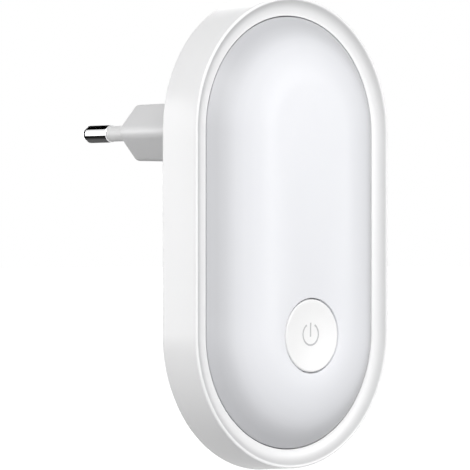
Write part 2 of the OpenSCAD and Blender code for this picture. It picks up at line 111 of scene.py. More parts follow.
# Carries a profile of (radius, height) round a racetrack: the centre slides down the straight
# side by the gap, and the point stands off by the radius in the outward direction.
def carriedPoints(profile, gap=arcGap):
    share, outX, outUp = racetrackLoop()
    radius, height = np.hsplit(profile, 2)
    return rowPoints(radius * outX, radius * outUp - arcDrop - np.reshape(gap, (-1, 1)) * share, height)


# Grids are (points, closes in rows, closes in columns). This one turns a profile of
# (radius, height) round the line through (x, up) that runs along the height.
def turnedGrid(profile, x=0.0, up=0.0, steps=96, closed=False):
    a = np.linspace(0, 2 * np.pi, steps, endpoint=False)
    radius, height = np.hsplit(np.asarray(profile, float), 2)
    return rowPoints(x + radius * np.cos(a), up + radius * np.sin(a), height), closed, True


# Rows of (scale, height) for a straight post with flat ends, and the round rod made of them
def postRows(low, high):
    return [(0, low), (1, low), (1, high), (0, high)]


def rodGrid(x, up, radius, low, high, steps=32):
    return turnedGrid(np.array(postRows(low, high)) * (radius, 1), x, up, steps)


# Closes the ends of a grid of loops by drawing its first and last loop in to their middles
def cappedGrid(points):
    ends = [np.repeat(points[[k]].mean(1, keepdims=True), points.shape[1], axis=1) for k in (0, -1)]
    return np.concatenate([ends[0], points, ends[1]]), False, True


# Quads between the neighbours of a grid, which may close on itself in either direction
def gridFaces(rows, columns, closeRows, closeColumns):
    r = np.arange(rows if closeRows else rows - 1)[:, None]
    c = np.arange(columns if closeColumns else columns - 1)[None, :]
    down, right = (r + 1) % rows, (c + 1) % columns
    corners = [r * columns + c, r * columns + right, down * columns + right, down * columns + c]
    return np.stack(np.broadcast_arrays(*corners), axis=-1).reshape(-1, 4)


# One mesh from several grids, with values for its points by attribute; doubles are merged
def meshFromGrids(name, grids, values=None, sharp=32):
    points = np.concatenate([g[0].reshape(-1, 3) for g in grids])
    starts = np.cumsum([0] + [g[0].shape[0] * g[0].shape[1] for g in grids[:-1]])
    faces = np.concatenate([gridFaces(*g[0].shape[:2], g[1], g[2]) + s for g, s in zip(grids, starts)])
    mesh = bpy.data.meshes.new(name)
    mesh.from_pydata(points.tolist(), [], faces.tolist())
    for key, value in (values or {}).items():
        mesh.attributes.new(key, "FLOAT", "POINT").data.foreach_set("value", value.ravel().astype("f"))
    tidyMesh(mesh, sharp)
    return mesh


# Merges doubles, drops faces without area, turns the rest outwards and keeps edges over the
# angle sharp
def tidyMesh(mesh, sharp=32):
    bm = bmesh.new()
    bm.from_mesh(mesh)
    bmesh.ops.remove_doubles(bm, verts=bm.verts, dist=1e-6)
    bmesh.ops.dissolve_degenerate(bm, edges=bm.edges, dist=1e-7)
    bmesh.ops.recalc_face_normals(bm, faces=bm.faces)
    bm.to_mesh(mesh)
    bm.free()
    mesh.polygons.foreach_set("use_smooth", np.ones(len(mesh.polygons), bool))
    mesh.set_sharp_from_angle(angle=math.radians(sharp))


def newObject(name, data):
    thing = bpy.data.objects.new(name, data)
    bpy.context.scene.collection.objects.link(thing)
    return thing


# Makes a piece in its slot's finish, which rides on its body and replaces the nodes named
def addPiece(name, grids, slotName, *nodes, body="case", values=None, sharp=32):
    mesh = meshFromGrids(name, grids, values, sharp)
    mesh.materials.append(finishes[slotName])
    piece = newObject(name, mesh)
    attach(piece, body)
    if nodes:
        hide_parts(*nodes)
    return piece


# Takes each set of cutter grids out of a piece and keeps the result as the piece's own mesh
def cutOut(piece, *cutters):
    tools = [newObject("cutter", meshFromGrids("cutter", grids)) for grids in cutters]
    for tool in tools:
        cut = piece.modifiers.new("cut", "BOOLEAN")
        cut.object, cut.operation, cut.solver = tool, "DIFFERENCE", "EXACT"
    bpy.context.view_layer.update()
    evaluated = piece.evaluated_get(bpy.context.evaluated_depsgraph_get())
    result = bpy.data.meshes.new_from_object(evaluated)
    piece.modifiers.clear()
    result.materials.clear()
    result.materials.append(piece.data.materials[0])
    result.polygons.foreach_set("material_index", np.zeros(len(result.polygons), "i"))
    piece.data = result
    for tool in tools:
        bpy.data.objects.remove(tool)
    tidyMesh(result)


def newMaterial(name):
    material = bpy.data.materials.new(name)
    material.use_nodes = True
    return material, material.node_tree.nodes, material.node_tree.links


# A shader node with its settings first and then the values of its sockets
def addNode(nodes, kind, sockets=(), **settings):
    node = nodes.new(kind)
    for key, value in settings.items():
        setattr(node, key, value)
    for key, value in dict(sockets).items():
        node.inputs[key].default_value = value
    return node


# What a finish has unless it says otherwise: noise scales per metre and the relief's depth in mm
plainLook = {"mottle": 90, "grain": 2600, "ripple": 260, "relief": 0.25, "depth": 0.01, "metal": 0}


# A moulded, plated or painted surface: a slow mottle between two near colours, a fine grain
# that moves the roughness, and the same grain with a coarser ripple as relief.
def surfaceFinish(name, ownLook):
    look = {**plainLook, **ownLook}
    material, nodes, links = newMaterial(name)
    shader = nodes["Principled BSDF"]
    place = nodes.new("ShaderNodeTexCoord").outputs["Object"]

    def noise(scale, detail):
        node = addNode(nodes, "ShaderNodeTexNoise", {"Scale": scale, "Detail": detail})
        links.new(place, node.inputs["Vector"])
        return node.outputs["Fac"]

    def ramp(factor, stops):
        node = nodes.new("ShaderNodeValToRGB")
        elements = node.color_ramp.elements
        while len(elements) < len(stops):
            elements.new(0.5)
        for element, (position, colour) in zip(elements, stops):
            element.position, element.color = position, (*colour, 1)
        links.new(factor, node.inputs["Fac"])
        return node.outputs["Color"]

    second = look.get("second", [v * 0.985 for v in look["colour"]])
    colour = ramp(noise(look["mottle"], 3), [(0.35, look["colour"]), (0.65, second)])
    # Painted light and shade: a look with "rim" has its colour multiplied by a tone painted along the
    # piece's profile
    if "rim" in look:                       # the tone follows the profile, by the attribute "rim"
        rimPlace = addNode(nodes, "ShaderNodeAttribute", attribute_name="rim").outputs["Fac"]
        shade = ramp(rimPlace, [(position, (tone, tone, tone)) for position, tone in look["rim"]])
        blend = addNode(nodes, "ShaderNodeMix", {"Factor": 1}, data_type="RGBA", blend_type="MULTIPLY")
        links.new(colour, blend.inputs["A"])
        links.new(shade, blend.inputs["B"])
        colour = blend.outputs["Result"]
    if "mark" in look:                      # a second colour where the attribute "mark" is 1
        marked = addNode(nodes, "ShaderNodeAttribute", attribute_name="mark").outputs["Fac"]
        blend = addNode(nodes, "ShaderNodeMix", {"B": (*look["mark"], 1)}, data_type="RGBA")
        links.new(marked, blend.inputs["Factor"])
        links.new(colour, blend.inputs["A"])
        colour = blend.outputs["Result"]
    links.new(colour, shader.inputs["Base Color"])

    grain = noise(look["grain"], 4)
    smooth, dull = look["rough"]
    rough = addNode(nodes, "ShaderNodeMapRange", {"To Min": smooth, "To Max": dull})
    links.new(grain, rough.inputs["Value"])
    links.new(rough.outputs["Result"], shader.inputs["Roughness"])

    relief = addNode(nodes, "ShaderNodeMath", {1: 0.5}, operation="MULTIPLY_ADD")
    links.new(noise(look["ripple"], 2), relief.inputs[0])
    links.new(grain, relief.inputs[2])
    bump = addNode(nodes, "ShaderNodeBump", {"Strength": look["relief"], "Distance": look["depth"] * mm})
    links.new(relief.outputs["Value"], bump.inputs["Height"])
    links.new(bump.outputs["Normal"], shader.inputs["Normal"])

    shader.inputs["Metallic"].default_value = look["metal"]
    shader.inputs["IOR"].default_value = 1.5
    return material


looks = {
    "housing_white": {
        "colour": (0.968, 0.968, 0.973), "second": (0.96, 0.96, 0.965), "rough": (0.27, 0.29),
        # its "rim" tones are painted light and shade: a highlight on the lip and shade in the hollow by it
        "relief": 0.04, "rim": [(0, 1), (0.4, 0.91), (0.5, 0.885), (1, 0.66)],
    },
    "opal_diffuser": {
        "colour": (0.866, 0.874, 0.905), "second": (0.86, 0.868, 0.9), "rough": (0.39, 0.43), "relief": 0.12,
        # its "rim" tones are painted shade that darkens the dome towards its edge
        "rim": [(0, 1), (0.4, 0.99), (0.55, 0.96), (0.66, 0.895), (0.78, 0.76), (0.88, 0.675), (1, 0.64)],
    },
    "button_white": {"colour": (0.945, 0.945, 0.945), "rough": (0.34, 0.38), "relief": 0.1},
    "symbol_grey": {"colour": (0.55, 0.55, 0.56), "rough": (0.5, 0.6), "relief": 0.2},
    "reflector_white": {"colour": (0.88, 0.88, 0.88), "rough": (0.55, 0.65), "relief": 0.2},
    "led_board_white": {"colour": (0.84, 0.86, 0.84), "second": (0.8, 0.83, 0.8), "rough": (0.32, 0.42)},
    "led_phosphor": {
        "colour": (0.82, 0.82, 0.79), "mark": (0.88, 0.72, 0.26), "mottle": 900, "rough": (0.45, 0.6),
    },
    "black_moulding": {
        "colour": (0.03, 0.03, 0.033), "second": (0.04, 0.04, 0.043), "rough": (0.5, 0.62), "relief": 0.4,
    },
    "cover_white": {
        "colour": (0.88, 0.88, 0.885), "rough": (0.42, 0.55), "relief": 0.5, "grain": 3200, "depth": 0.02,
    },
    # The plug is the housing's white plastic painted darker, as painted shade for its place behind the
    # housing
    "plug_white": {"colour": (0.79, 0.79, 0.795), "rough": (0.32, 0.4), "relief": 0.2},
    "nickel_plate": {
        "colour": (0.9, 0.9, 0.905), "second": (0.86, 0.86, 0.87), "rough": (0.05, 0.09), "relief": 0.012,
        "metal": 1,
    },
    "sleeve_white": {"colour": (0.83, 0.83, 0.83), "rough": (0.42, 0.52), "relief": 0.2},
    "wire_brown": {"colour": (0.2, 0.09, 0.04), "rough": (0.4, 0.5)},
    "wire_blue": {"colour": (0.04, 0.13, 0.4), "rough": (0.4, 0.5)},
    "board_green": {"colour": (0.03, 0.17, 0.07), "second": (0.035, 0.2, 0.085), "rough": (0.3, 0.42)},
    "film_yellow": {"colour": (0.75, 0.5, 0.06), "rough": (0.3, 0.42)},
    "can_black": {"colour": (0.035, 0.037, 0.045), "mark": (0.5, 0.51, 0.53), "rough": (0.25, 0.35)},
    "winding_brown": {
        "colour": (0.42, 0.17, 0.07), "second": (0.34, 0.13, 0.05), "mark": (0.035, 0.033, 0.032),
        "rough": (0.3, 0.42), "metal": 0.4,
    },
    "resistor_green": {"colour": (0.2, 0.33, 0.22), "mark": (0.06, 0.035, 0.02), "rough": (0.55, 0.65)},
    "header_brass": {"colour": (0.8, 0.62, 0.3), "rough": (0.2, 0.3), "metal": 1},
    "screw_steel": {
        "colour": (0.6, 0.61, 0.63), "second": (0.5, 0.51, 0.53), "rough": (0.22, 0.36), "metal": 1,
        "grain": 1400,
    },
}
finishes = {slotName: surfaceFinish(slotName, look) for slotName, look in looks.items()}
for part in frame["record"]["subparts"]:      # the solids carry the same finishes
    node = frame["nodes"][part["node"]]
    node.data.materials.clear()
    node.data.materials.append(finishes[part["material_slot"]])
print("finishes made:", len(finishes))


housing = {
    "bodyR": 30, "flare": 0.7, "wallR": 28, "lip": 0.9, "backRound": 0.5, "collarR": 25.8, "web": 1.6,
    "collar": 1.4, "ledge": 1.6, "ledgeW": 2.5, "soft": 0.2, "rimSoft": 0.12,
    # The tones on the next line paint light and shade: the wall's tone, and where the painted shade in the
    # hollow starts and how far it spreads
    "bossRing": 24.65, "bossRoot": 1.05, "bossDeep": 3.2, "wallTone": 0.4, "paintedShadeFrom": 14, "paintedShadeOver": 22,
}


# The outer 45 degree points of a ring round each end's centre
def cornerSpots(ring):
    side = ring * math.cos(math.radians(45))
    top, low = side - arcDrop, -arcDrop - arcGap - side
    return [(-side, top), (side, top), (-side, low), (side, low)]


# The wall's profile, anticlockwise from the back edge: up the slanted outside, over the round lip,
# down a round hollow to the collar, and back under the ledge and the web. With a the collar's
# distance from the lip's centre, b its depth below it and q the lip's radius, the hollow's radius
# is (a a + b b - q q) / (2 b + 2 q), which leaves the collar level and meets the lip smoothly.
# The tone for "rim" paints light and shade: it is 0 on the lip, painted lighter than the wall as a
# highlight, rises over the lip's inner flank, and rises in the hollow from 0.5 to 1 by how steep
# it is, as painted shade that darkens the hollow towards the lip.
def housingProfile(h):
    r, q, collarR, soft = h["bodyR"], h["lip"] / 2, h["collarR"], h["backRound"]
    ledgeR, under, webTop = collarR - h["ledgeW"], ledgeTop - h["ledge"], domeEdge - h["web"]
    slope = math.degrees(math.atan(h["flare"] / (lipTop - coverBack)))
    a, b = r - q - collarR, lipTop - q - domeEdge
    hollowR = (a * a + b * b - q * q) / (2 * b + 2 * q)
    turn = math.degrees(math.asin(a / (hollowR + q)))
    lip = arcPoints(r - q, lipTop - q, q, q, slope, 90 + turn, 14)
    hollow = arcPoints(collarR, domeEdge + hollowR, hollowR, hollowR, turn - 90, -88, 14)[1:]
    back = arcPoints(r + h["flare"] - soft, coverBack + soft, soft, soft, -90, slope)
    inner = [(collarR, domeEdge, h["rimSoft"])]
    inner += [(radius, height, h["soft"]) for radius, height in (
        (collarR, ledgeTop), (ledgeR, ledgeTop), (ledgeR, under), (collarR + h["collar"], under),
        (collarR + h["collar"], webTop), (h["wallR"], webTop), (h["wallR"], coverBack),
    )]
    # Painted shade: the steeper the hollow, the darker it is painted
    tilt = np.degrees(np.arctan2(collarR - hollow[:, 0], hollow[:, 1] - domeEdge - hollowR)) + 180
    paintedShade = np.clip((tilt - h["paintedShadeFrom"]) / h["paintedShadeOver"], 0, 1)
    tone = np.concatenate([
        np.full(len(back) + 3, h["wallTone"]), np.zeros(len(lip) - 7), [0, 0.1, 0.3, 0.6],
        0.5 + 0.5 * paintedShade ** 2 * (3 - 2 * paintedShade), [0.5], np.full(len(inner) - 1, h["wallTone"]),
    ])
    points = [(x, y, 0) for x, y in np.concatenate([back, lip, hollow])] + inner
    return softOutline(points, 6), np.repeat(tone, 7)


# A screw boss: a tube from its root to its mouth, with a blind hole that opens at the mouth
def bossGrid(x, up, root, mouth, depth, bossR=2.45, edge=0.15):
    way = math.copysign(1, root - mouth)
    bottom, rim = mouth + way * depth, mouth + way * edge
    profile = [
        (0, bottom), (screwHoleR, bottom), (screwHoleR, rim), (screwHoleR + edge, mouth),
        (bossR - edge, mouth), (bossR, rim), (bossR, root), (0, root),
    ]
    return turnedGrid(profile, x, up, 40)


bosses = [bossGrid(x, up, ledgeTop - housing["bossRoot"], coverFront, housing["bossDeep"])
          for x, up in cornerSpots(housing["bossRing"])]
shell, shellPaintedLight = housingProfile(housing)
shellPoints = carriedPoints(shell)
bossCount = sum(len(g[0].reshape(-1, 3)) for g in bosses)
# The "rim" values paint a highlight on the lip and shade in the hollow next to it
rim = np.concatenate([np.repeat(shellPaintedLight, shellPoints.shape[1]), np.full(bossCount, housing["wallTone"])])
housingGrids = [(shellPoints, True, True)] + bosses
addPiece("housingShell", housingGrids, "housing_white", "front_frame", values={"rim": rim})
print("housing made")


diffuser = {
    "outerR": 25.6, "wall": 1.8, "shoulderR": 19, "slope": 40, "edgeRound": 0.25, "skirtRound": 0.15,
    "holeR": 8.35, "holeRound": 0.15,
}


# Rings from the button's hole outwards over the dome, down the skirt and back inside. The dome
# is a flat, an arc of the shoulder's radius and a straight band; the hole's rings are found by
# looking from the button's centre towards each point of the flat's racetrack.
def diffuserPoints(d):
    outerR, wall, slope = d["outerR"], d["wall"], math.radians(d["slope"])
    skirtR, skirtRound = outerR - wall, d["skirtRound"]
    skirtTop = domeEdge + wall * math.tan(slope) - wall / math.cos(slope)
    outer, inner, middle = d["shoulderR"], d["shoulderR"] - wall, domeTop - d["shoulderR"]
    outside = arcPoints(flatR, middle, outer, outer, 90, 90 - d["slope"], 26)
    inside = arcPoints(flatR, middle, inner, inner, 90 - d["slope"], 90, 16)
    band = outside[-1] + np.linspace(0.2, 0.8, 4)[:, None] * (np.array([outerR, domeEdge]) - outside[-1])
    skirt = softOutline([
        (*outside[-1], 0), (outerR, domeEdge, d["edgeRound"]), (outerR, ledgeTop, skirtRound),
        (skirtR, ledgeTop, skirtRound), (skirtR, skirtTop, 0),
    ], 4)[5:-5]
    rows = np.concatenate([outside, band, skirt, [(skirtR, skirtTop)], inside])
    share, outX, outUp = racetrackLoop()
    towardX, towardUp = flatR * outX, flatR * outUp - arcDrop - arcGap * share - buttonUp
    away = np.hypot(towardX, towardUp)
    edge = d["holeRound"]
    holeEdge = arcPoints(d["holeR"] + edge, domeTop - edge, edge, edge, 180, 90, 4)
    hole = np.concatenate([[(d["holeR"], domeTop - wall)], holeEdge])
    holeR, holeHeight = np.hsplit(hole, 2)
    rings = rowPoints(holeR * towardX / away, holeR * towardUp / away + buttonUp, holeHeight)
    points = np.concatenate([rings, carriedPoints(rows)])
    # How far out each ring lies, 0 on the hole and the flat and 1 at the edge: it drives the painted shade
    # that darkens the dome towards its edge
    out = np.concatenate([np.zeros(len(hole)), (rows[:, 0] - flatR) / (outerR - flatR)])
    return points, np.repeat(np.clip(out, 0, 1)[:, None], points.shape[1], axis=1)


dome, domePaintedShade = diffuserPoints(diffuser)
addPiece(
    "diffuserDome", [(dome, True, True)], "opal_diffuser", "diffuser", values={"rim": domePaintedShade}, sharp=30)
print("diffuser made")


button = {
    "radius": 8.05, "round": 0.3, "dish": 0.5, "skirt": 1.2, "skirtLow": 40.25, "under": 44.75,
    "flangeR": 9.55, "flangeTop": 44.25, "flange": 1.3, "stemR": 2.2, "stemLow": 40.5,
}
dishW = button["radius"] - button["round"]
dishR = (dishW ** 2 + button["dish"] ** 2) / (2 * button["dish"])


# Height of the button's hollow face: the bottom of a large sphere
def dishHeight(out):
    return domeTop - button["dish"] + dishR - np.sqrt(dishR ** 2 - out ** 2)


# From the middle of the face out over its rounded edge, down to the flange, round the skirt's
# lower edge and up inside it, and down the stem to its middle
def buttonProfile(b):
    r, innerR, flangeR, stemR = b["radius"], b["radius"] - b["skirt"], b["flangeR"], b["stemR"]
    edge, high, low = b["round"], b["flangeTop"], b["flangeTop"] - b["flange"]
    out = np.linspace(0, dishW, 16)
    face = np.stack([out, dishHeight(out)], axis=-1)
    rounded = arcPoints(dishW, domeTop - edge, edge, edge, 90, 0, 8)[1:]
    below = softOutline([
        (r, high, 0.1), (flangeR, high, 0.2), (flangeR, low, 0.2), (r, low, 0.1), (r, b["skirtLow"], 0.3),
        (innerR, b["skirtLow"], 0.3), (innerR, b["under"], 0.3), (stemR, b["under"], 0.4),
        (stemR, b["stemLow"], 0.3), (0, b["stemLow"], 0), (0, domeTop, 0),
    ], 4)[:-10]
    return np.concatenate([face, rounded, below, [(0, b["stemLow"])]])


buttonGrid = turnedGrid(buttonProfile(button), 0, buttonUp, 120)
addPiece("buttonCap", [buttonGrid], "button_white", "button_cap", body="button")

symbol = {
    "ringR": 2.38, "half": 0.2, "open": 31, "barTop": 2.58, "barLow": -0.52, "lift": 0.3, "proud": 0.03,
    "sunk": 0.15,
}


# A low rounded bead along a path on the button's face: its section is a loop of (beside, above),
# set out sideways from the path, lifted off the dish, and drawn to a point at both ends.
def beadGrid(pathX, pathUp, sideX, sideUp, s):
    across = np.linspace(-1, 1, 9)
    crown = np.stack([across * s["half"], s["proud"] * (1 - across ** 4)], axis=-1)
    beside, above = np.concatenate([crown, [(s["half"], -s["sunk"]), (-s["half"], -s["sunk"])]]).T
    x = pathX[:, None] + beside * sideX[:, None]
    up = pathUp[:, None] + beside * sideUp[:, None] + s["lift"]
    return cappedGrid(rowPoints(x, up + buttonUp, above + dishHeight(np.hypot(x, up))))


ringTurn = np.radians(np.linspace(90 + symbol["open"], 450 - symbol["open"], 73))
ringX, ringUp = np.cos(ringTurn), np.sin(ringTurn)
barUp = np.linspace(symbol["barLow"], symbol["barTop"], 13)
zero = np.zeros(13)
ringBead = beadGrid(symbol["ringR"] * ringX, symbol["ringR"] * ringUp, ringX, ringUp, symbol)
barBead = beadGrid(zero, barUp, zero + 1, zero, symbol)
addPiece("buttonSymbol", [ringBead, barBead], "symbol_grey", "button_symbol", body="button")
print("button made")


plug = {
    "width": 33.4, "height": 13.2, "flat": 21.3, "round": 2.4, "faceRound": 0.3, "draft": 0.2, "pinX": 9.5,
    "sleeveHole": 1.82, "sleeveDepth": 1.0, "coreHole": 1.37, "mouth": 0.12, "rear": 21.9,
    "flangeW": 25.3, "flangeH": 17.2, "flangeTop": 23.0, "flangeRound": 1.2, "flangeSoft": 0.3,
}


# Right half of the plug's outline, from the middle of its top round the tip to the middle of its
# bottom, with nine points on each of its three corners. An inset moves every edge inwards: the
# flat's end comes in by inset times (1 - cos slope) / sin slope and the tip by inset / sin slope.
def plugHalf(p, inset=0.0):
    tipX = p["width"] / 2
    slope = math.atan(p["height"] / 2 / (tipX - p["flat"] / 2))
    flatX = p["flat"] / 2 - inset * (1 - math.cos(slope)) / math.sin(slope)
    tipX -= inset / math.sin(slope)
    up, r = p["height"] / 2 - inset, p["round"] - inset
    right = [(flatX, up, r), (tipX, 0, r), (flatX, -up, r)]
    half = softOutline(right + [(-x, y, r) for x, y, r in right[::-1]], 8)[:27]
    top = np.linspace([0, up], half[0], 12, endpoint=False)
    upper = np.linspace(half[8], half[9], 12)[1:-1]
    lower = np.linspace(half[17], half[18], 12)[1:-1]
    bottom = np.linspace(half[-1], [0, -up], 13)[1:]
    return np.concatenate([top, half[:9], upper, half[9:18], lower, half[18:], bottom])


# Right half of a rectangle in the same order, with seven points on each of its two corners
def boxHalf(width, height, r):
    x, up = width / 2, height / 2
    half = softOutline([(x, up, r), (x, -up, r), (-x, -up, r), (-x, up, r)], 6)[:14]
    top = np.linspace([0, up], half[0], 16, endpoint=False)
    middle = np.linspace(half[6], half[7], 20)[1:-1]
    bottom = np.linspace(half[-1], [0, -up], 17)[1:]
    return np.concatenate([top, half[:7], middle, half[7:], bottom])


# The side of a body from (half outline, height) rows: each half and its mirror image make a loop
def sidePoints(rows):
    loops = [(np.concatenate([half, half[-2:0:-1] * (-1, 1)]), height) for half, height in rows]
    return np.stack([rowPoints(*loop.T, height) for loop, height in loops])


# One half of a body's end faces with a pin's bore between them. The half's loop is closed up its
# middle line, and each ring of the bore (radius, height) looks from the pin's axis towards the loop.
def boreGrid(side, pinX, front, bore, rear):
    t = np.linspace(-1, 1, 25)[1:-1, None]
    loops = [(np.concatenate([half, t * (0, half[0, 1])]), height) for half, height in (front, rear)]
    toward = loops[0][0] - (pinX, 0)
    toward /= np.linalg.norm(toward, axis=1, keepdims=True)
    rings = [rowPoints(side * (pinX + toward[:, 0] * r), toward[:, 1] * r, height) for r, height in bore]
    ends = [rowPoints(side * loop[:, 0], loop[:, 1], height) for loop, height in loops]
    return np.stack([ends[0]] + rings + [ends[1]]), False, True


# The body thickens from its face to the driver box by the draft, and its face has a small round:
# an inset of (1 - sin) at a height of (1 - cos), followed by a few loops along the body
def plugGrids(p):
    edge = np.radians(np.linspace(0, 90, 6))
    heights = np.concatenate([p["faceRound"] * (1 - np.cos(edge)), [2, 6, 11, 16, p["rear"]]])
    insets = np.concatenate([p["faceRound"] * (1 - np.sin(edge)), np.zeros(5)])
    insets += p["draft"] * (1 - np.minimum(heights / boxFloor, 1))
    body = [(plugHalf(p, inset), height) for inset, height in zip(insets, heights)]
    hole, core, depth, mouth = p["sleeveHole"], p["coreHole"], p["sleeveDepth"], p["mouth"]
    bore = [(hole + mouth, 0), (hole, mouth), (hole, depth), (core, depth), (core, p["rear"])]
    top, soft = p["flangeTop"], p["flangeSoft"]
    steps = [(soft, boxFloor), (0, boxFloor + soft), (0, top - soft), (soft, top)]
    flange = [(boxHalf(p["flangeW"] - 2 * i, p["flangeH"] - 2 * i, p["flangeRound"]), h) for i, h in steps]
    grids = []
    for rows, holes in ((body, bore), (flange, [(core, boxFloor), (core, top)])):
        grids.append((sidePoints(rows), False, True))
        grids += [boreGrid(side, p["pinX"], rows[0], holes, rows[-1]) for side in (-1, 1)]
    return grids


addPiece("plugBody", plugGrids(plug), "plug_white", "plug_body")

pin = {
    "radius": 2.0, "tipRound": 1.9, "length": 18.5, "bare": 9, "edge": 0.1, "coreR": 1.35, "tail": 24.4,
    "tailEdge": 0.2, "sleeveR": 1.8, "sleeveIn": 1.0, "sleeveGap": 0.02,
}


# A pin from its rounded tip over the bare end, in under the sleeve and back to its tail
def pinProfile(p):
    r, core, tipR, end, tail = p["radius"], p["coreR"], p["tipRound"], -p["length"], p["tail"]
    shoulder, edge, tailEdge = p["bare"] + end, p["edge"], p["tailEdge"]
    tip = arcPoints(r - tipR, tipR + end, tipR, tipR, -90, 0, 16)
    body = [
        (r, shoulder - edge), (r - edge, shoulder), (core, shoulder),
        (core, tail - tailEdge), (core - tailEdge, tail), (0, tail),
    ]
    return np.concatenate([[(0, end)], tip, body])


# The sleeve's wall: a rectangle round the pin's core, with rounded corners
def sleeveProfile(p):
    inR, outR, low, high = p["coreR"] + p["sleeveGap"], p["sleeveR"], p["bare"] - p["length"], p["sleeveIn"]
    return softOutline([(inR, low, 0.05), (outR, low, 0.15), (outR, high, 0.1), (inR, high, 0.05)], 4)


for name, side in (("left", -1), ("right", 1)):
    x = side * plug["pinX"]
    addPiece(f"pin_{name}_metal", [turnedGrid(pinProfile(pin), x, 0, 64)], "nickel_plate", f"pin_{name}")
    addPiece(
        f"sleeve_{name}_tube", [turnedGrid(sleeveProfile(pin), x, 0, 64, closed=True)],
        "sleeve_white", f"sleeve_{name}")
print("plug made")


cover = {
    "radius": 27.85, "boxR": 18.25, "boxWall": 2, "boxGap": 30, "boxRound": 1.6, "edge": 0.25, "joint": 0.4,
    "wellMouth": 0.3, "wellRound": 0.5, "recessR": 2.3, "seat": 32.2, "flare": 0.25, "plugClear": 0.1,
    "bossSunk": 0.4, "bossDeep": 2,
}
boardSpots = [(-17.8, -4.87), (17.8, -4.87), (-17.8, -40.63), (17.8, -40.63)]
driverSpots = [(10.43, -25.92), (-1.7, -28.7)]


# Rows of (radius, height, gap) from the middle of the box's back out over its rounded edge, along
# the plate, round its rim and down into the box. The box's racetrack is shorter than the plate's.
def coverGrid(c):
    r, box, inside, edge = c["radius"], c["boxR"], c["boxR"] - c["boxWall"], c["edge"]
    soft, joint, mouth, floor = c["boxRound"], c["joint"], c["wellMouth"], c["wellRound"]
    boxEdge = arcPoints(box - soft, boxBack + soft, soft, soft, -90, 0, 10)
    fillet = arcPoints(box + joint, coverBack - joint, joint, joint, 180, 90, 5)
    rim = np.concatenate([
        arcPoints(r - edge, coverBack + edge, edge, edge, -90, 0, 4),
        arcPoints(r - edge, coverFront - edge, edge, edge, 0, 90, 4),
    ])
    well = [
        (inside + mouth, coverFront), (inside, coverFront - mouth), (inside, boxFloor + floor),
        (inside - 0.3 * floor, boxFloor + 0.3 * floor), (inside - floor, boxFloor), (0, boxFloor),
    ]
    gaps = [c["boxGap"]] * (1 + len(boxEdge) + len(fillet)) + [arcGap] * len(rim) + [c["boxGap"]] * len(well)
    return carriedPoints(np.concatenate([[(0, boxBack)], boxEdge, fillet, rim, well]), gaps), False, True


# A screw's recess: a bore with a flared mouth, a flat seat and the shank's hole behind it
def recessGrid(x, up, c):
    r, flare, seat = c["recessR"], c["flare"], c["seat"]
    return turnedGrid(np.concatenate([
        [(0, coverBack - 1), (r + flare, coverBack - 1)],
        arcPoints(r + flare, coverBack + flare, flare, flare, -90, -180, 4),
        [(r, seat), (screwHoleR, seat), (screwHoleR, coverFront + 1), (0, coverFront + 1)],
    ]), x, up, 48)


coverPiece = addPiece("backCover", [coverGrid(cover)], "cover_white", "back_cover")
opening = plugHalf(plug, -cover["plugClear"])
recesses = [[recessGrid(x, up, cover)] for x, up in cornerSpots(housing["bossRing"])]
cutOut(coverPiece, [cappedGrid(sidePoints([(opening, boxBack - 1), (opening, boxFloor + 1)]))], *recesses)
bossRows = [(spot, coverFront, boardFace - boardThick) for spot in boardSpots]
bossRows += [(spot, boxFloor, driverFace - driverThick) for spot in driverSpots]
coverBosses = [
    bossGrid(*spot, base - cover["bossSunk"], top, cover["bossDeep"]) for spot, base, top in bossRows]
addPiece("coverBosses", coverBosses, "cover_white")

screw = {
    "headR": 2.0, "head": 1.3, "fall": 0.45, "slot": 0.3, "slotEnd": 1.15, "deep": 0.75, "fine": 1.3,
    "shankR": 1.1, "length": 3.8, "pitch": 0.8, "thread": 0.16, "point": 0.8,
}


# A pan-head screw seen along its axis: the head's height is a flat top with a rounded rim less a
# cross-shaped dip; the shank's radius falls from the crest by a wave of the pitch, turned with the
# angle, and draws in towards the point.
def screwGrid(x, up, seat, facing, s):
    a = np.linspace(0, 2 * np.pi, 64, endpoint=False)[None, :]
    zero = np.zeros_like(a)
    fine = np.linspace(0, s["fine"], 17)       # closer rings where the cross lies
    out = np.concatenate([fine, np.linspace(s["fine"], s["headR"], 9)[1:]])[:, None]
    px, py = np.abs(out * np.cos(a)), np.abs(out * np.sin(a))
    near, far = np.minimum(px, py), np.maximum(px, py)
    dip = np.clip((s["slot"] - near) / 0.1 + 0.5, 0, 1) * np.clip((s["slotEnd"] - far) / 0.15 + 0.5, 0, 1)
    headTop = s["head"] - s["fall"] * (out / s["headR"]) ** 4 - s["deep"] * dip
    shank = np.linspace(0, s["length"], 61)[:, None]
    wave = 0.5 + 0.5 * np.cos(2 * np.pi * shank / s["pitch"] - a)
    taper = 0.55 + 0.45 * np.clip((s["length"] - shank) / s["point"], 0, 1) ** 0.5
    shankR = np.where(shank < 0.05, s["shankR"] * 0.85, (s["shankR"] - s["thread"] * wave) * taper)
    radius = np.concatenate([out + zero, zero + s["headR"], shankR, zero])
    height = np.concatenate([headTop, zero, zero - shank, zero - s["length"]])
    return rowPoints(x + radius * np.cos(a), up + radius * np.sin(a), seat + facing * height), False, True


coverScrews = [screwGrid(x, up, cover["seat"], -1, screw) for x, up in cornerSpots(housing["bossRing"])]
boardScrews = [screwGrid(x, up, boardFace, 1, screw) for x, up in boardSpots]
boardScrews += [screwGrid(x, up, driverFace, 1, screw) for x, up in driverSpots]
addPiece("coverScrewSet", coverScrews, "screw_steel", "cover_screws", sharp=40)
addPiece("boardScrewSet", boardScrews, "screw_steel", "board_screws", sharp=40)
print("back cover made")


